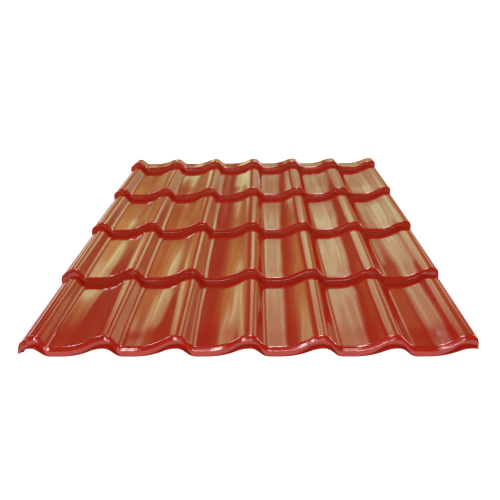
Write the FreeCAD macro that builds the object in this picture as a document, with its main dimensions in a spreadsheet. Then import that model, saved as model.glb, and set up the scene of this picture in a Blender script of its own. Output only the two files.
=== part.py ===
import FreeCAD, Part
import math
import os

Vector = FreeCAD.Vector

# Tile effect metal roofing sheet: one sheet of coated steel, rolled and pressed.
# X runs across the waves, Y from the front edge to the rear edge, Z up, in millimetres.
# The wave line is the section across the sheet, and the step line the section along it.
# Each skin of the sheet is the sum of the two lines: the wave line is carried unturned
# along the step line, so waves and steps cross the whole sheet without a joint.
# The solid is drawn with the foot of the first step at Y 0 and the first crest at X 0.

# Driving sizes: alias, value, meaning.
SIZES = [
    ("thickness", 0.5, "steel with its coats"),
    ("wave_count", 6, "full waves across, with one crest more than this"),
    ("wave_pitch", 183.33, "crest to crest"),
    ("wave_height", 23.5, "pan to crest"),
    ("flank_run", 48.5, "steep side of a wave, crest to pan"),
    ("pan_width", 28.0, "flat pan of a wave"),
    ("crest_radius", 28.0, "bend over a crest, on its steep side"),
    ("crest_rise_radius", 78.0, "bend over a crest, on its gentle side"),
    ("flank_foot_radius", 29.0, "bend where the steep side meets the pan"),
    ("skirt_run", 37.0, "first crest to the left edge"),
    ("skirt_drop", 22.0, "first crest down to the left edge"),
    ("skirt_bend_radius", 22.0, "bend over the first crest, on its skirt side"),
    ("skirt_setback", 10.0, "how far a step lies further back at the left edge than in a pan"),
    ("groove_gap", 1.0, "flat between the bend over the first crest and the groove in the skirt"),
    ("groove_width", 10.0, "groove in the skirt, from lip to lip"),
    ("groove_floor", 3.5, "flat floor of that groove"),
    ("groove_depth", 3.0, "groove in the skirt, below its lips"),
    ("lap_run", 17.0, "last crest to the right edge"),
    ("course_count", 4, "full tile courses, with one step more than this"),
    ("course_length", 350.0, "step to step"),
    ("step_height", 20.0, "foot of a step to its nose"),
    ("step_run", 16.0, "foot of a step to its nose, measured along the sheet"),
    ("ridge_run", 2.4, "foot of a step to the ridge across its face, along the sheet"),
    ("ridge_drop", 7.4, "nose of a step down to that ridge"),
    ("nose_radius", 11.0, "bend at the top of a step"),
    ("crest_setback", 15.0, "how far a step lies further back on a crest than in a pan"),
    ("front_lip", 1.5, "pan in front of the first step"),
    ("rear_strip", 65.0, "pan behind the last step"),
    ("nose_flat_count", 1, "narrow flats between the tangents of a nose bend"),
]

# Share of the largest bends that a run has room for, so that a straight stays.
ROOM_SHARE = 0.95

doc = FreeCAD.newDocument("tile_effect_sheet")
sheet = doc.addObject("Spreadsheet::Sheet", "sizes")
for row, (alias, value, meaning) in enumerate(SIZES, start=1):
    sheet.set("A%d" % row, meaning)
    sheet.set("B%d" % row, str(value))
    sheet.setAlias("B%d" % row, alias)
doc.recompute()


def size(alias):
    return float(sheet.get(alias))


# Bends
# A run from one level to another is bend, straight, bend, each tangent to the next.

def straight_angle(run, rise, radii):
    """Slope of the straight between two bends whose radii add up to radii."""
    reach = math.hypot(run, radii - rise)
    return math.atan2(run, radii - rise) - math.acos(radii / reach)


def tangent_radii(run, rise):
    """What the radii of two bends add up to where they meet with no straight between."""
    return (run ** 2 + rise ** 2) / (2 * rise)


def fitting_radius(alias, run, rise, other_radius=0):
    """Radius of a bend on a run whose other bend is known, as far as the run has room."""
    return min(size(alias), ROOM_SHARE * tangent_radii(run, rise) - other_radius)


def on_bend(level_point, radius, angle, side):
    """Point of a bend that leaves the level line at level_point, after turning by angle.

    The bend curls down for a positive radius and up for a negative one, and side is
    1 towards +X or -1 towards -X.
    """
    return Vector(level_point.x + side * abs(radius) * math.sin(angle),
                  level_point.y - radius * (1 - math.cos(angle)), 0)


def bend_arc(level_point, radius, from_angle, to_angle):
    """Arc of a bend about the normal at level_point, with angles positive towards +X."""
    middle = (from_angle + to_angle) / 2
    return Part.Arc(*[on_bend(level_point, radius, abs(angle), math.copysign(1, angle))
                      for angle in (from_angle, middle, to_angle)])


def flat_corners(level_point, radius, angle, side, flats):
    """Corners of the narrow flats that stand for a bend, from the level line onwards."""
    turn = angle / (flats + 1)
    centre = Vector(level_point.x, level_point.y - radius, 0)
    reach = radius / math.cos(turn / 2)
    corners = []
    for flat in range(flats + 1):
        at = turn * (flat + 0.5)
        corners.append(Vector(centre.x + side * abs(reach) * math.sin(at),
                              centre.y + reach * math.cos(at), 0))
    return corners


def polyline(points):
    return [Part.LineSegment(a, b) for a, b in zip(points, points[1:])]


def offset_below(points, depth):
    """The same polyline, depth below it, mitred at its corners and square at its ends."""
    normals = []
    for a, b in zip(points, points[1:]):
        along = (b - a).normalize()
        normals.append(Vector(along.y, -along.x, 0))
    moved = []
    for place, point in enumerate(points):
        before = normals[max(place - 1, 0)]
        after = normals[min(place, len(normals) - 1)]
        mitre = (before + after) * (depth / (1 + before.dot(after)))
        moved.append(point + mitre)
    return moved


# Wave line and step line
# Depth is 0 on the upper skin and the thickness on the lower one. Both skins share the
# centres of their bends, so the steel keeps its thickness round them.

def skirt_angle():
    return straight_angle(size("skirt_run"), size("skirt_drop"), size("skirt_bend_radius"))


def skirt_points():
    """Skirt left of the first crest, from the left edge up, with its drainage groove."""
    angle = skirt_angle()
    edge = Vector(-size("skirt_run"), size("wave_height") - size("skirt_drop"), 0)
    up = Vector(math.cos(angle), math.sin(angle), 0)
    inward = Vector(math.sin(angle), -math.cos(angle), 0)

    def at(distance, depth):
        return edge + up * distance + inward * depth

    top = on_bend(Vector(0, size("wave_height"), 0), size("skirt_bend_radius"), angle, -1)
    half_width = size("groove_width") / 2
    half_floor = size("groove_floor") / 2
    depth = size("groove_depth")
    middle = (top - edge).Length - size("groove_gap") - half_width
    return [edge, at(middle - half_width, 0), at(middle - half_floor, depth),
            at(middle + half_floor, depth), at(middle + half_width, 0), top]


def wave_line(depth):
    """Section across the sheet: the skirt with its crest half, then the waves."""
    pitch = size("wave_pitch")
    height = size("wave_height")
    flank = size("flank_run")
    pan = size("pan_width")
    rise = pitch - flank - pan
    crest = size("crest_radius")
    flank_foot = fitting_radius("flank_foot_radius", flank, height, crest)
    flank_angle = straight_angle(flank, height, crest + flank_foot)
    crest_rise = fitting_radius("crest_rise_radius", rise, height)
    rise_foot = tangent_radii(rise, height) - crest_rise
    rise_angle = math.asin(rise / tangent_radii(rise, height))
    lap = size("lap_run")
    lap_angle = min(flank_angle, math.asin(min(lap / crest, 1)))
    count = round(size("wave_count"))

    first_top = Vector(0, height - depth, 0)
    skirt = polyline(offset_below(skirt_points(), depth))
    skirt.append(bend_arc(first_top, size("skirt_bend_radius") - depth, -skirt_angle(), 0))

    waves = [bend_arc(first_top, crest - depth, 0, flank_angle)]
    for wave in range(count):
        top = Vector(wave * pitch, height - depth, 0)
        pan_start = Vector(top.x + flank, -depth, 0)
        pan_end = Vector(pan_start.x + pan, -depth, 0)
        next_top = Vector(top.x + pitch, height - depth, 0)
        waves.append(Part.LineSegment(
            on_bend(top, crest - depth, flank_angle, 1),
            on_bend(pan_start, -flank_foot - depth, flank_angle, -1)))
        waves.append(bend_arc(pan_start, -flank_foot - depth, -flank_angle, 0))
        waves.append(Part.LineSegment(pan_start, pan_end))
        waves.append(bend_arc(pan_end, -rise_foot - depth, 0, rise_angle))
        waves.append(bend_arc(next_top, crest_rise - depth, -rise_angle, 0))
        crest_end = flank_angle if wave + 1 < count else lap_angle
        waves.append(bend_arc(next_top, crest - depth, 0, crest_end))

    bend_end = on_bend(next_top, crest - depth, lap_angle, 1)
    straight_run = lap - crest * math.sin(lap_angle)
    if straight_run > 0:
        down = Vector(1, -math.tan(lap_angle), 0)
        waves.append(Part.LineSegment(bend_end, bend_end + down * straight_run))
    return skirt, waves


def step_line(depth):
    """Section along the sheet, from the front edge to the rear edge.

    It is drawn with its courses level and then turned, so that each course falls
    towards the foot of the step behind it and all the feet lie on one level. The face
    of a step is steep up to its ridge and leans back from there to the nose.
    """
    slope = math.atan2(size("step_height"), size("course_length"))
    rise = size("course_length") * math.sin(slope)
    advance = size("course_length") * math.cos(slope)
    run = size("step_run") - size("ridge_run")
    drop = size("ridge_drop")
    radius = fitting_radius("nose_radius", run, drop)
    angle = straight_angle(run, drop, radius)
    flats = round(size("nose_flat_count"))
    spare = size("crest_setback") + size("front_lip")
    points = [Vector(-spare, 0, 0)]
    for step in range(round(size("course_count")) + 1):
        foot = Vector(step * advance, step * rise, 0)
        nose = foot + Vector(size("step_run"), rise, 0)
        ridge = nose - Vector(run, drop, 0)
        points += [foot, ridge]
        points += reversed(flat_corners(nose, radius, angle, -1, flats))
    points.append(nose + Vector(size("rear_strip") + spare, 0, 0))
    # The wave line already lies a depth lower on the lower skin, so the courses stay level.
    skin = [point + Vector(0, depth, 0) for point in offset_below(points, depth)]
    fall = FreeCAD.Rotation(Vector(0, 0, 1), -math.degrees(slope))
    return polyline([fall.multVec(point) for point in skin])


# Skins

def leaning(curves, lean, depth):
    """The curves stood upright, leaning back so that the crests lie at the crest setback."""
    top = size("wave_height") - depth
    stood = []
    for curve in curves:
        spline = curve.toBSpline()
        for number, pole in enumerate(spline.getPoles(), start=1):
            setback = size("crest_setback") + lean * (pole.y - top)
            spline.setPole(number, Vector(pole.x, setback, pole.y))
        stood.append(spline)
    return stood


def across(depth):
    """Wave line of one skin, in space."""
    skirt, waves = wave_line(depth)
    wave_lean = size("crest_setback") / size("wave_height")
    skirt_lean = (size("crest_setback") - size("skirt_setback")) / size("skirt_drop")
    return leaning(skirt, skirt_lean, depth) + leaning(waves, wave_lean, depth)


def along(depth):
    """Step line of one skin, in space."""
    stood = []
    for line in step_line(depth):
        spline = line.toBSpline()
        for number, pole in enumerate(spline.getPoles(), start=1):
            spline.setPole(number, Vector(0, pole.x, pole.y))
        stood.append(spline)
    return stood


def patch(wave, step):
    """Exact face swept by carrying one piece of the wave line along one of the step line."""
    if wave.Degree == 1:
        corners = [wave.StartPoint + step.StartPoint, wave.EndPoint + step.StartPoint,
                   wave.EndPoint + step.EndPoint, wave.StartPoint + step.EndPoint]
        return Part.Face(Part.makePolygon(corners + corners[:1]))
    poles = [[a + b for b in step.getPoles()] for a in wave.getPoles()]
    weights = [[p * q for q in step.getWeights()] for p in wave.getWeights()]
    surface = Part.BSplineSurface()
    surface.buildFromPolesMultsKnots(
        poles, wave.getMultiplicities(), step.getMultiplicities(), wave.getKnots(),
        step.getKnots(), False, False, wave.Degree, step.Degree, weights)
    return surface.toShape()


def edge_strips(upper, lower, upper_point, lower_point):
    """Narrow faces that close the gap between the skins along one edge of the sheet."""
    strips = []
    for above, below in zip(upper, lower):
        above_edge = above.toShape().translated(upper_point)
        below_edge = below.toShape().translated(lower_point)
        strips.append(Part.makeRuledSurface(above_edge, below_edge))
    return strips


def pressed_solid():
    """Solid between the two skins, a little longer than the sheet at both ends."""
    upper_wave, lower_wave = across(0), across(size("thickness"))
    upper_step, lower_step = along(0), along(size("thickness"))
    faces = [patch(wave, step) for wave in upper_wave for step in upper_step]
    faces += [patch(wave, step) for wave in lower_wave for step in lower_step]
    faces += edge_strips(upper_step, lower_step, upper_wave[0].StartPoint, lower_wave[0].StartPoint)
    faces += edge_strips(upper_step, lower_step, upper_wave[-1].EndPoint, lower_wave[-1].EndPoint)
    faces += edge_strips(upper_wave, lower_wave, upper_step[0].StartPoint, lower_step[0].StartPoint)
    faces += edge_strips(upper_wave, lower_wave, upper_step[-1].EndPoint, lower_step[-1].EndPoint)
    shell = Part.Compound(faces)
    shell.sewShape()
    solid = Part.Solid(shell.Shells[0])
    if solid.Volume < 0:
        solid.reverse()
    return solid


# Document objects: the pressed blank, the straight cuts at its front and rear, the sheet.

blank = doc.addObject("Part::Feature", "pressed_blank")
blank.Label = "pressed_blank"
blank.Shape = pressed_solid()
blank.Placement = FreeCAD.Placement()

cuts = doc.addObject("Part::Box", "cut_lines")
cuts.Label = "cut_lines"
cuts.setExpression("Length", "2 * (sizes.wave_count + 1) * sizes.wave_pitch")
cuts.setExpression("Width", "sizes.front_lip + sizes.course_count * sizes.course_length"
                            " + sizes.step_run + sizes.rear_strip")
cuts.setExpression("Height", "4 * (sizes.wave_height + sizes.step_height)")
cuts.setExpression("Placement.Base.x", "-Length / 4")
cuts.setExpression("Placement.Base.y", "-sizes.front_lip")
cuts.setExpression("Placement.Base.z", "-Height / 2")

product = doc.addObject("Part::Common", "tile_sheet")
product.Label = "tile_sheet"
product.Base = blank
product.Tool = cuts

# The origin is the middle of the sheet, level with the steel under the feet of the steps,
# which is what the sheet lies on.
left = -size("skirt_run")
right = size("wave_count") * size("wave_pitch") + size("lap_run")
front = -size("front_lip")
rear = size("course_count") * size("course_length") + size("step_run") + size("rear_strip")
lowest = min(line.StartPoint.y for line in step_line(size("thickness"))) - size("thickness")
product.Placement = FreeCAD.Placement(
    Vector(-(left + right) / 2, -(front + rear) / 2, -lowest), FreeCAD.Rotation())
doc.recompute()

for item in doc.Objects:
    if "Invalid" in item.State or "Error" in item.State:
        raise RuntimeError("%s did not compute" % item.Label)
for item in (blank, cuts, product):
    if item.Shape.isNull() or not item.Shape.isValid():
        raise RuntimeError("%s has no sound shape" % item.Label)

os.makedirs("parts", exist_ok=True)
product.Shape.exportStep("parts/%s.step" % product.Label)
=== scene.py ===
import math

import bmesh
import bpy
from mathutils import Matrix, Vector, noise


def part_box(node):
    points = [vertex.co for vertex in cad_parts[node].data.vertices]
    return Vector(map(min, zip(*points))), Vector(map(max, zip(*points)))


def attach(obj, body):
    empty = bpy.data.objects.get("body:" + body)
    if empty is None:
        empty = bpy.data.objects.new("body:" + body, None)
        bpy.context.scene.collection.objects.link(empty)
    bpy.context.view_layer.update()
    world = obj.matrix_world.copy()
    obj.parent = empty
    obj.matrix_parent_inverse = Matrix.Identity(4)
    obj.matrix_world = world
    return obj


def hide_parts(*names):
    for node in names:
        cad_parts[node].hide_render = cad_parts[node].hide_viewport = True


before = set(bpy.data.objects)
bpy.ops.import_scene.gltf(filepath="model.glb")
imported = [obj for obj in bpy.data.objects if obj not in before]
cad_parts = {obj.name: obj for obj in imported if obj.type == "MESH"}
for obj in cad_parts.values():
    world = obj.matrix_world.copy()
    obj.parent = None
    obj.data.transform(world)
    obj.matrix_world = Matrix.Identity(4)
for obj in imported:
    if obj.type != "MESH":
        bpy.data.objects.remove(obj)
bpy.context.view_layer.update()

# Pressed sheet
# One sheet of galvanised steel, painted in the coil, rolled into waves and then pressed
# into steps. Its section is drawn first and carried back over the steps, as the press
# does, and the steel gets its thickness last. Sizes are metres.

THICKNESS = 0.0005

# The wave line, across the sheet: crest, steep flank, flat pan and gentle rise, with a skirt
# and its drainage groove before the first wave and a lap after the last one.
WAVE_COUNT = 6
WAVE_PITCH = 0.18333
WAVE_HEIGHT = 0.0235
FLANK_RUN = 0.0485
PAN_WIDTH = 0.028
CREST_RADIUS = 0.028
CREST_RISE_RADIUS = 0.078
FLANK_FOOT_RADIUS = 0.029
SKIRT_RUN = 0.037
SKIRT_DROP = 0.022
SKIRT_BEND_RADIUS = 0.022
GROOVE_GAP = 0.001
GROOVE_WIDTH = 0.010
GROOVE_FLOOR = 0.0035
GROOVE_DEPTH = 0.003
LAP_RUN = 0.0168

# The step line, along the sheet: lower face, ridge, shoulder, nose and course.
COURSE_COUNT = 4
COURSE_LENGTH = 0.350
STEP_HEIGHT = 0.020
STEP_RUN = 0.016
RIDGE_RUN = 0.0024
RIDGE_DROP = 0.0074
RIDGE_RADIUS = 0.0025
NOSE_RADIUS = 0.011
BEND_END = 0.0009
FRONT_LIP = 0.0015
REAR_STRIP = 0.065

# How far the steps lie further back on a crest and at the left edge than in a pan, how far
# the sheet is drawn past its two cuts, and how far the cuts lie inside the solid's ends.
CREST_SETBACK = 0.015
SKIRT_SETBACK = 0.010
SPARE = CREST_SETBACK + FRONT_LIP
CUT_INSET = 0.00006
NEAR = 1e-6
WELD = 1e-7

low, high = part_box("tile_sheet")
FIRST_CREST = low.x + SKIRT_RUN
FRONT_FOOT = low.y + FRONT_LIP
COURSE_SLOPE = math.atan2(STEP_HEIGHT, COURSE_LENGTH)
FOOT_LEVEL = low.z + THICKNESS * (1 + math.sin(COURSE_SLOPE))


def straight_angle(run, rise, radii):
    """Slope of the straight between two bends whose radii add up to radii."""
    reach = math.hypot(run, radii - rise)
    return math.atan2(run, radii - rise) - math.acos(radii / reach)


def draw_straight(bm, tip, move, parts=1):
    """Carries the tip of a line of edges on by move, in so many equal parts."""
    for _ in range(parts):
        tip = bmesh.ops.extrude_vert_indiv(bm, verts=[tip])["verts"][0]
        bmesh.ops.translate(bm, verts=[tip], vec=move / parts)
    return tip


def draw_bend(bm, tip, centre, angle, parts):
    """Carries the tip of a line of edges round a centre by an arc, about the Y axis."""
    turn = Matrix.Rotation(angle / parts, 4, "Y")
    for _ in range(parts):
        tip = bmesh.ops.extrude_vert_indiv(bm, verts=[tip])["verts"][0]
        bmesh.ops.rotate(bm, verts=[tip], cent=centre, matrix=turn)
    return tip


def slanted(length, angle):
    """A move of that length to the right, climbing at that angle."""
    return Vector((math.cos(angle), 0, math.sin(angle))) * length


def draw_skirt(bm):
    """The skirt climbs from the left edge to the first crest, with the groove near its top."""
    skirt = straight_angle(SKIRT_RUN, SKIRT_DROP, SKIRT_BEND_RADIUS)
    centre = Vector((0, 0, WAVE_HEIGHT - SKIRT_BEND_RADIUS))
    top = centre + Vector((-math.sin(skirt), 0, math.cos(skirt))) * SKIRT_BEND_RADIUS
    tip = bm.verts.new((-SKIRT_RUN, 0, WAVE_HEIGHT - SKIRT_DROP))
    straight = (top - tip.co).length
    wall = slanted((GROOVE_WIDTH - GROOVE_FLOOR) / 2, skirt)
    inward = Vector((math.sin(skirt), 0, -math.cos(skirt))) * GROOVE_DEPTH
    tip = draw_straight(bm, tip, slanted(straight - GROOVE_GAP - GROOVE_WIDTH, skirt), parts=3)
    tip = draw_straight(bm, tip, wall + inward, parts=2)
    tip = draw_straight(bm, tip, slanted(GROOVE_FLOOR, skirt), parts=2)
    tip = draw_straight(bm, tip, wall - inward, parts=2)
    tip = draw_straight(bm, tip, slanted(GROOVE_GAP, skirt))
    return draw_bend(bm, tip, centre, skirt, parts=6)


def draw_waves(bm, tip):
    """The waves go on from the first crest, and the lap goes over the last one."""
    up = Vector((0, 0, 1))
    radii = CREST_RADIUS + FLANK_FOOT_RADIUS
    flank = straight_angle(FLANK_RUN, WAVE_HEIGHT, radii)
    flank_straight = slanted((FLANK_RUN - radii * math.sin(flank)) / math.cos(flank), -flank)
    rise_run = WAVE_PITCH - FLANK_RUN - PAN_WIDTH
    rise_radii = (rise_run ** 2 + WAVE_HEIGHT ** 2) / (2 * WAVE_HEIGHT)
    rise = math.asin(rise_run / rise_radii)
    for wave in range(WAVE_COUNT):
        crest = Vector((wave * WAVE_PITCH, 0, WAVE_HEIGHT))
        pan = Vector((crest.x + FLANK_RUN, 0, 0))
        pan_end = pan + Vector((PAN_WIDTH, 0, 0))
        next_crest = crest + Vector((WAVE_PITCH, 0, 0))
        tip = draw_bend(bm, tip, crest - up * CREST_RADIUS, flank, parts=7)
        tip = draw_straight(bm, tip, flank_straight, parts=2)
        tip = draw_bend(bm, tip, pan + up * FLANK_FOOT_RADIUS, -flank, parts=7)
        tip = draw_straight(bm, tip, pan_end - pan, parts=3)
        tip = draw_bend(bm, tip, pan_end + up * (rise_radii - CREST_RISE_RADIUS), -rise, parts=9)
        tip = draw_bend(bm, tip, next_crest - up * CREST_RISE_RADIUS, rise, parts=6)
    draw_bend(bm, tip, next_crest - up * CREST_RADIUS, math.asin(LAP_RUN / CREST_RADIUS), parts=6)


def lean_back(bm, crest_tip):
    """Shears the section, so that its crests and its left edge lie behind its pans."""
    skirt = [v for v in bm.verts if v.co.x < crest_tip.co.x - NEAR]
    waves = [v for v in bm.verts if v.co.x >= crest_tip.co.x - NEAR]
    for verts, setback, drop in ((skirt, SKIRT_SETBACK, SKIRT_DROP), (waves, 0, WAVE_HEIGHT)):
        shear = Matrix.Identity(4)
        shear[1][2] = (CREST_SETBACK - setback) / drop
        shear[1][3] = CREST_SETBACK - shear[1][2] * WAVE_HEIGHT
        bmesh.ops.transform(bm, matrix=shear, verts=verts)


def step_moves():
    """The step line, as the moves that carry the section from the front to the rear."""
    rise = COURSE_LENGTH * math.sin(COURSE_SLOPE)
    advance = COURSE_LENGTH * math.cos(COURSE_SLOPE)
    face = math.atan2(rise - RIDGE_DROP, RIDGE_RUN)
    shoulder = straight_angle(STEP_RUN - RIDGE_RUN, RIDGE_DROP, NOSE_RADIUS)
    ridge_tangent = RIDGE_RADIUS * math.tan((face - shoulder) / 2)
    face_length = math.hypot(rise - RIDGE_DROP, RIDGE_RUN) - ridge_tangent
    shoulder_run = STEP_RUN - RIDGE_RUN - NOSE_RADIUS * math.sin(shoulder)
    shoulder_length = shoulder_run / math.cos(shoulder) - ridge_tangent
    headings = []

    def straight(heading, length, parts=1):
        headings.extend([(heading, length / parts)] * parts)

    def flat(heading, length, parts=1):
        """A flat with a short part at each end, so that the bends beside it shade only those."""
        straight(heading, BEND_END)
        straight(heading, length - 2 * BEND_END, parts)
        straight(heading, BEND_END)

    def bend(radius, before, after, parts):
        turn = (after - before) / parts
        for part in range(parts):
            headings.append((before + (part + 0.5) * turn, 2 * radius * abs(math.sin(turn / 2))))

    straight(0, SPARE)
    for step in range(COURSE_COUNT + 1):
        flat(face, face_length)
        bend(RIDGE_RADIUS, face, shoulder, parts=4)
        flat(shoulder, shoulder_length)
        bend(NOSE_RADIUS, shoulder, 0, parts=6)
        if step < COURSE_COUNT:
            flat(0, advance - STEP_RUN, parts=14)
    flat(0, REAR_STRIP + SPARE, parts=4)
    return [Vector((0, math.cos(heading - COURSE_SLOPE), math.sin(heading - COURSE_SLOPE))) * length
            for heading, length in headings]


def carry_section(bm, moves):
    """Extrudes the section along the moves, which makes the skin of the sheet."""
    row = bm.edges[:]
    for move in moves:
        grown = bmesh.ops.extrude_edge_only(bm, edges=row)["geom"]
        verts = [g for g in grown if isinstance(g, bmesh.types.BMVert)]
        row = [g for g in grown if isinstance(g, bmesh.types.BMEdge)
               and g.verts[0] in verts and g.verts[1] in verts]
        bmesh.ops.translate(bm, verts=verts, vec=move)


def cut_straight(bm):
    """Cuts the front and the rear off straight, as the sheet leaves the press."""
    for cut, outward in ((low.y + CUT_INSET, -1), (high.y - CUT_INSET, 1)):
        geometry = bm.verts[:] + bm.edges[:] + bm.faces[:]
        bmesh.ops.bisect_plane(bm, geom=geometry, dist=WELD, plane_co=(0, cut, 0),
                               plane_no=(0, outward, 0), clear_outer=True)


# Slight ripples of the pans between their steps, from the strain of pressing them. They fade
# towards the crests and the steps, at these shares of a wave's width and a course's length.
RIPPLE_HEIGHT = 0.0013
RIPPLE_LENGTH = (0.11, 0.19)
RIPPLE_LAYER = 3.7
RIPPLE_ACROSS = (0.12, 0.32, 0.6, 0.95)
RIPPLE_ALONG = (0.10, 0.3, 0.75, 0.97)


def fade(value, start, full, fading, end):
    """0 outside start and end, 1 between full and fading, smooth in between."""
    share = max(min((value - start) / (full - start), (end - value) / (end - fading), 1), 0)
    return share * share * (3 - 2 * share)


def press_ripples(bm):
    for vert in bm.verts:
        across = ((vert.co.x - FIRST_CREST) % WAVE_PITCH) / WAVE_PITCH
        along = ((vert.co.y - FRONT_FOOT) / COURSE_LENGTH) % 1
        share = fade(across, *RIPPLE_ACROSS) * fade(along, *RIPPLE_ALONG)
        place = Vector((vert.co.x / RIPPLE_LENGTH[0], vert.co.y / RIPPLE_LENGTH[1], RIPPLE_LAYER))
        vert.co.z += share * RIPPLE_HEIGHT * (1 + noise.noise(place))


def add_object(name, bm):
    """Ends a bmesh and puts it into the scene as an object of that name."""
    mesh = bpy.data.meshes.new(name)
    bm.to_mesh(mesh)
    bm.free()
    new_object = bpy.data.objects.new(name, mesh)
    bpy.context.scene.collection.objects.link(new_object)
    return new_object


bm = bmesh.new()
crest_tip = draw_skirt(bm)
draw_waves(bm, crest_tip)
lean_back(bm, crest_tip)
fall = Vector((0, math.cos(COURSE_SLOPE), -math.sin(COURSE_SLOPE)))
bmesh.ops.translate(bm, verts=bm.verts, vec=-SPARE * fall)
carry_section(bm, step_moves())
bmesh.ops.translate(bm, verts=bm.verts, vec=(FIRST_CREST, FRONT_FOOT, FOOT_LEVEL))
cut_straight(bm)
press_ripples(bm)
bmesh.ops.recalc_face_normals(bm, faces=bm.faces)
if sum(face.normal.z for face in bm.faces) < 0:
    bmesh.ops.reverse_faces(bm, faces=bm.faces)
bmesh.ops.solidify(bm, geom=bm.faces[:], thickness=THICKNESS)

# The sheared faces are as narrow as the sheet is thick, and lie between two sharp folds.
COAT, BACK, CUT = range(3)
SHARP = math.radians(50)
CUT_WIDTH = 1.1 * THICKNESS
for face in bm.faces:
    folds = sum(edge.calc_face_angle(0) > SHARP for edge in face.edges)
    width = min(edge.calc_length() for edge in face.edges)
    face.smooth = True
    if folds > 1 and width < CUT_WIDTH:
        face.material_index = CUT
    else:
        face.material_index = COAT if face.normal.z > 0 else BACK
for edge in bm.edges:
    edge.smooth = edge.calc_face_angle(0) < SHARP

pressed_sheet = add_object("pressed_sheet", bm)
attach(pressed_sheet, "root")
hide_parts("tile_sheet")


def linear(hex_colour):
    """Linear RGBA of an sRGB hex colour."""
    channels = [int(hex_colour[i:i + 2], 16) / 255 for i in (1, 3, 5)]
    return [c / 12.92 if c <= 0.04045 else ((c + 0.055) / 1.055) ** 2.4 for c in channels] + [1]


def add_node(tree, kind, settings, sockets):
    """Adds a node with its settings, links or sets its sockets, and returns its outputs."""
    node = tree.nodes.new(kind)
    for name, value in settings.items():
        setattr(node, name, value)
    for key, value in sockets.items():
        if isinstance(value, bpy.types.NodeSocket):
            tree.links.new(value, node.inputs[key])
        else:
            node.inputs[key].default_value = value
    return node.outputs


def new_material(name, mesh):
    """Gives a mesh one more material, and returns its empty node tree."""
    material = bpy.data.materials.new(name)
    material.use_nodes = True
    material.node_tree.nodes.clear()
    mesh.materials.append(material)
    return material.node_tree


# A Mix node has its sockets for numbers and for colours side by side, under the same names.
NUMBER_A, NUMBER_B, NUMBER_OUT = 2, 3, 0
COLOUR_A, COLOUR_B, COLOUR_OUT = 6, 7, 2

# The weather side: a gloss polyester topcoat, rolled onto the coil and baked. It is smooth and
# mirrors what stands round the sheet, drawn out into fine streaks along the rolling direction.
ROLL_STREAK = (0.0055, 0.40, 0.02)
STREAK_DEPTH = 0.00009
ORANGE_PEEL = (0.004, 0.012, 0.004)
PEEL_DEPTH = 0.000006
TONE_PATCH = 0.1111
tree = new_material("gloss_polyester_coil_coat", pressed_sheet.data)
place = add_node(tree, "ShaderNodeTexCoord", {}, {})["Object"]
streak_place = add_node(tree, "ShaderNodeMapping", {}, {
    "Vector": place, "Scale": [1 / length for length in ROLL_STREAK]})[0]
streaks = add_node(tree, "ShaderNodeTexNoise", {}, {"Vector": streak_place, "Scale": 1.0, "Detail": 3.0})[0]
streak_bump = add_node(tree, "ShaderNodeBump", {}, {
    "Height": streaks, "Strength": 1.0, "Distance": STREAK_DEPTH})[0]
peel_place = add_node(tree, "ShaderNodeMapping", {}, {
    "Vector": place, "Scale": [1 / length for length in ORANGE_PEEL]})[0]
peel = add_node(tree, "ShaderNodeTexNoise", {}, {"Vector": peel_place, "Scale": 1.0, "Detail": 1.0})[0]
peel_bump = add_node(tree, "ShaderNodeBump", {}, {
    "Height": peel, "Strength": 1.0, "Distance": PEEL_DEPTH, "Normal": streak_bump})[0]
tone = add_node(tree, "ShaderNodeTexNoise", {}, {"Vector": place, "Scale": 1 / TONE_PATCH, "Detail": 2.0})[0]
reds = add_node(tree, "ShaderNodeMix", {"data_type": "RGBA"}, {
    "Factor": tone, COLOUR_A: linear("#A6200F"), COLOUR_B: linear("#B42614")})[COLOUR_OUT]
gloss = add_node(tree, "ShaderNodeMapRange", {}, {"Value": streaks, "To Min": 0.07, "To Max": 0.11})[0]

# A dull speck of dirt sits on it, near the right edge and the second step.
SPECK = (0.5268, -0.4102, 0.0184)
SPECK_RADIUS = 0.0036
SPECK_ROUGHNESS = 0.8
away = add_node(tree, "ShaderNodeVectorMath", {"operation": "DISTANCE"}, {0: place, 1: SPECK})["Value"]
spot = add_node(tree, "ShaderNodeMapRange", {"interpolation_type": "SMOOTHSTEP"}, {
    "Value": away, "From Min": SPECK_RADIUS, "From Max": SPECK_RADIUS / 2})[0]
paint = add_node(tree, "ShaderNodeMix", {"data_type": "RGBA"}, {
    "Factor": spot, COLOUR_A: reds, COLOUR_B: linear("#2A1410")})[COLOUR_OUT]
roughness = add_node(tree, "ShaderNodeMix", {"data_type": "FLOAT"}, {
    "Factor": spot, NUMBER_A: gloss, NUMBER_B: SPECK_ROUGHNESS})[NUMBER_OUT]
shader = add_node(tree, "ShaderNodeBsdfPrincipled", {}, {
    "Base Color": paint, "Roughness": roughness, "Normal": peel_bump, "IOR": 1.5})[0]
add_node(tree, "ShaderNodeOutputMaterial", {}, {"Surface": shader})

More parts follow.
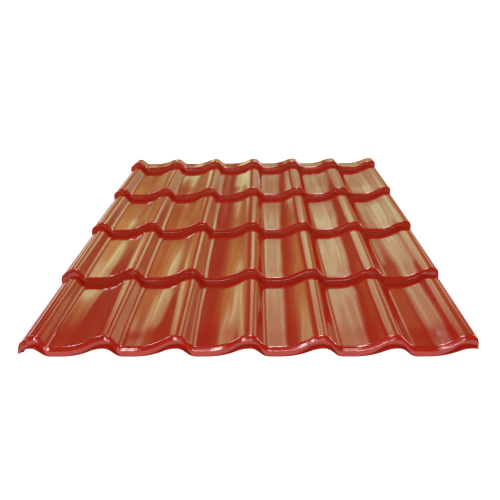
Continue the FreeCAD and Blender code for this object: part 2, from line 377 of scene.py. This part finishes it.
# The side towards the roof: a thin grey epoxy wash coat, rolled on and nearly matt.
tree = new_material("epoxy_back_coat", pressed_sheet.data)
place = add_node(tree, "ShaderNodeTexCoord", {}, {})["Object"]
streak_place = add_node(tree, "ShaderNodeMapping", {}, {
    "Vector": place, "Scale": [1 / length for length in ROLL_STREAK]})[0]
streaks = add_node(tree, "ShaderNodeTexNoise", {}, {"Vector": streak_place, "Scale": 1.0, "Detail": 3.0})[0]
greys = add_node(tree, "ShaderNodeMix", {"data_type": "RGBA"}, {
    "Factor": streaks, COLOUR_A: linear("#BDB6A8"), COLOUR_B: linear("#CBC5B8")})[COLOUR_OUT]
roughness = add_node(tree, "ShaderNodeMapRange", {}, {"Value": streaks, "To Min": 0.42, "To Max": 0.55})[0]
shader = add_node(tree, "ShaderNodeBsdfPrincipled", {}, {
    "Base Color": greys, "Roughness": roughness, "IOR": 1.5})[0]
add_node(tree, "ShaderNodeOutputMaterial", {}, {"Surface": shader})

# The four sheared edges: bare zinc and steel, bright where the blade cut and dull where it tore.
SHEAR_MARK = 0.0008
tree = new_material("sheared_galvanised_steel", pressed_sheet.data)
place = add_node(tree, "ShaderNodeTexCoord", {}, {})["Object"]
marks = add_node(tree, "ShaderNodeTexNoise", {}, {"Vector": place, "Scale": 1 / SHEAR_MARK, "Detail": 2.0})[0]
metals = add_node(tree, "ShaderNodeMix", {"data_type": "RGBA"}, {
    "Factor": marks, COLOUR_A: linear("#8E9092"), COLOUR_B: linear("#B9BBBC")})[COLOUR_OUT]
roughness = add_node(tree, "ShaderNodeMapRange", {}, {"Value": marks, "To Min": 0.5, "To Max": 0.3})[0]
shader = add_node(tree, "ShaderNodeBsdfPrincipled", {}, {
    "Base Color": metals, "Roughness": roughness, "Metallic": 1.0})[0]
add_node(tree, "ShaderNodeOutputMaterial", {}, {"Surface": shader})

# Floor and light
# White paper that glows a little, so that it stays white and still carries the sheet's shadow,
# under an even white sky. Camera and mirrors see the sky a little brighter than it shines.

FLOOR_HALF = 30.0
PAPER_GLOW = 0.7
SKY_LIGHT = 0.88
SKY_SEEN = 1.0
bm = bmesh.new()
bmesh.ops.create_grid(bm, x_segments=1, y_segments=1, size=FLOOR_HALF)
floor = add_object("floor", bm)
tree = new_material("white_paper", floor.data)
paper = add_node(tree, "ShaderNodeBsdfDiffuse", {}, {"Color": linear("#F3F3F3")})[0]
glow = add_node(tree, "ShaderNodeEmission", {}, {"Color": linear("#FFFFFF"), "Strength": PAPER_GLOW})[0]
both = add_node(tree, "ShaderNodeAddShader", {}, {0: paper, 1: glow})[0]
add_node(tree, "ShaderNodeOutputMaterial", {}, {"Surface": both})

world = bpy.data.worlds.new("studio")
bpy.context.scene.world = world
world.use_nodes = True
tree = world.node_tree
tree.nodes.clear()
shining = add_node(tree, "ShaderNodeBackground", {}, {"Color": linear("#FFFFFF"), "Strength": SKY_LIGHT})[0]
shown = add_node(tree, "ShaderNodeBackground", {}, {"Color": linear("#FFFFFF"), "Strength": SKY_SEEN})[0]
ray = add_node(tree, "ShaderNodeLightPath", {}, {})
seen = ray["Is Camera Ray"]
for kind in ("Is Glossy Ray", "Is Transmission Ray"):
    seen = add_node(tree, "ShaderNodeMath", {"operation": "MAXIMUM"}, {0: seen, 1: ray[kind]})[0]
sky = add_node(tree, "ShaderNodeMixShader", {}, {0: seen, 1: shining, 2: shown})[0]
add_node(tree, "ShaderNodeOutputWorld", {}, {"Surface": sky})

# Light tent
# A dome of studio cards that only the gloss of the coat mirrors: dim and pale ones round the
# horizon, most of them behind the sheet, and narrow bright strips above and beside them.

TENT_RADIUS = 12.0
OVERHEAD_LEVEL = 0.04
bm = bmesh.new()
bmesh.ops.create_uvsphere(bm, u_segments=48, v_segments=24, radius=TENT_RADIUS)
tent = add_object("light_tent", bm)
tent.visible_camera = False
tent.visible_diffuse = False
tent.visible_transmission = False
tent.visible_shadow = False

# A card is given by its azimuths, its heights and its level. Angles are degrees: where its
# light sets in, is full, begins to fade and ends. Azimuth 0 is behind the sheet, 90 at its right.
DIM_CARDS = [
    ((-181, -180, 180, 181), (-91, -90, 20, 42), 0.12),
    ((-29, -26, -12, -6), (-10, 0, 22, 36), 0.38),
    ((-25, -22, -15, -11), (12, 18, 24, 32), 0.5),
    ((15, 19, 25, 31), (-10, 0, 24, 36), 0.4),
]
PALE_CARDS = [
    ((-5, -1, 12, 17), (-4, 4, 31, 40), 0.85),
    ((-5, -1, 11, 16), (14, 22, 30, 38), 1.6),
    ((-28, -25, -22, -18), (9, 15, 20, 26), 1.9),
    ((-23, -21, -18, -15), (20, 24, 30, 33), 1.4),
    ((-14, -12, -9, -6), (4, 6, 11, 14), 1.1),
    ((22, 25, 31, 37), (7, 14, 21, 27), 1.3),
]

# The rest of the room, which shows when the sheet is seen from its sides or from the rear.
for start, end in ((80, 98), (114, 142), (160, 180), (-98, -80), (-142, -114), (-180, -160)):
    PALE_CARDS.append(((start - 5, start, end, end + 5), (3, 9, 24, 34), 0.5))

# The strips draw the thin lines along the noses. Those behind the sheet keep clear of the
# heights that the noses throw down into the pans, where they would show a second time.
STRIPS = [
    ((-7, -4, 6, 10), (38, 39, 41, 42), 18),
    ((-7, -4, 17, 21), (61, 62, 69, 70), 40),
    ((-34, -30, 24, 30), (61, 62, 67, 68), 3),
    ((41, 42, 45, 46), (9, 12, 24, 28), 14),
    ((50, 51, 54, 55), (9, 12, 24, 28), 20),
    ((60, 61, 65, 66), (9, 12, 24, 28), 20),
    ((-43, -42, -39, -38), (31, 34, 50, 56), 20),
    ((-53, -52, -49, -48), (31, 34, 50, 56), 20),
]

# One more strip hangs high above the camera. It is a straight bar, so its ends are given by how
# far they lie to the right, as shares of the tent's radius.
BAR_HEIGHTS = (62, 63, 70, 71)
BAR_ENDS = (-0.2793, -0.2094, 0.1222, 0.2094)
BAR_LEVEL = 24

tree = new_material("lit_card", tent.data)
place = add_node(tree, "ShaderNodeTexCoord", {}, {})["Object"]
toward = add_node(tree, "ShaderNodeVectorMath", {"operation": "NORMALIZE"}, {0: place})[0]
part = add_node(tree, "ShaderNodeSeparateXYZ", {}, {0: toward})
azimuth = add_node(tree, "ShaderNodeMath", {"operation": "ARCTAN2"}, {0: part["X"], 1: part["Y"]})[0]
height = add_node(tree, "ShaderNodeMath", {"operation": "ARCSINE"}, {0: part["Z"]})[0]


def soft_window(light, value, start, full, fading, end):
    """The light that is left where a value lies between start and end, with two soft edges."""
    for dark, bright in ((start, full), (end, fading)):
        edge = add_node(tree, "ShaderNodeMapRange", {"interpolation_type": "SMOOTHSTEP"}, {
            "Value": value, "From Min": dark, "From Max": bright})[0]
        light = add_node(tree, "ShaderNodeMath", {"operation": "MULTIPLY"}, {0: light, 1: edge})[0]
    return light


def card_light(azimuths, heights, level):
    """The light of one card, between two azimuths and two heights."""
    light = soft_window(level, azimuth, *[math.radians(degrees) for degrees in azimuths])
    return soft_window(light, height, *[math.radians(degrees) for degrees in heights])


# The dim and the pale cards are uneven, as lit cloth is: finely across and coarsely up it. The
# grain is counted per radian.
CLOTH_GRAIN = (30.0, 5.0, 1.0)
angles = add_node(tree, "ShaderNodeCombineXYZ", {}, {"X": azimuth, "Y": height})[0]
grain_place = add_node(tree, "ShaderNodeMapping", {}, {"Vector": angles, "Scale": CLOTH_GRAIN})[0]
grain = add_node(tree, "ShaderNodeTexNoise", {"noise_dimensions": "2D"}, {
    "Vector": grain_place, "Scale": 1.0, "Detail": 2.0})[0]
cloth = add_node(tree, "ShaderNodeMapRange", {}, {
    "Value": grain, "From Min": 0.3, "From Max": 0.7, "To Min": 0.65, "To Max": 1.35})[0]

bar = soft_window(BAR_LEVEL, part["X"], *BAR_ENDS)
bar = soft_window(bar, height, *[math.radians(degrees) for degrees in BAR_HEIGHTS])
in_front = add_node(tree, "ShaderNodeMath", {"operation": "LESS_THAN"}, {0: part["Y"], 1: 0.0})[0]
bar = add_node(tree, "ShaderNodeMath", {"operation": "MULTIPLY"}, {0: bar, 1: in_front})[0]
level = add_node(tree, "ShaderNodeMath", {"operation": "ADD"}, {0: bar, 1: OVERHEAD_LEVEL})[0]
glow = add_node(tree, "ShaderNodeEmission", {}, {"Color": linear("#FFFFFF"), "Strength": level})[0]
for colour, cards, evenness in (("#EDFA8B", DIM_CARDS, cloth), ("#CBFFC5", PALE_CARDS, cloth),
                                ("#FFFFFF", STRIPS, 1.0)):
    light = 0.0
    for card in cards:
        light = add_node(tree, "ShaderNodeMath", {"operation": "ADD"}, {0: light, 1: card_light(*card)})[0]
    light = add_node(tree, "ShaderNodeMath", {"operation": "MULTIPLY"}, {0: light, 1: evenness})[0]
    lit = add_node(tree, "ShaderNodeEmission", {}, {"Color": linear(colour), "Strength": light})[0]
    glow = add_node(tree, "ShaderNodeAddShader", {}, {0: glow, 1: lit})[0]
add_node(tree, "ShaderNodeOutputMaterial", {}, {"Surface": glow})

# Camera
# It stands in front of the sheet and looks down on it. Its place, turn and lens come from a
# fit of the photograph's crests, pans and step feet.

CAMERA_PLACE = (0.0374, -1.8657, 0.8692)
YAW = math.radians(1.22)
PITCH = math.radians(26.90)
ROLL = math.radians(0.78)
camera_data = bpy.data.cameras.new("camera")
camera_data.sensor_width = 36
camera_data.lens = 40.33
camera = bpy.data.objects.new("camera", camera_data)
bpy.context.scene.collection.objects.link(camera)
level_view = Matrix.Rotation(math.radians(90), 4, "X")
turned = Matrix.Rotation(YAW, 4, "Z") @ Matrix.Rotation(-PITCH, 4, "X") @ Matrix.Rotation(ROLL, 4, "Y")
camera.matrix_world = Matrix.Translation(CAMERA_PLACE) @ turned @ level_view
bpy.context.scene.camera = camera
bpy.context.scene.view_settings.view_transform = "Standard"
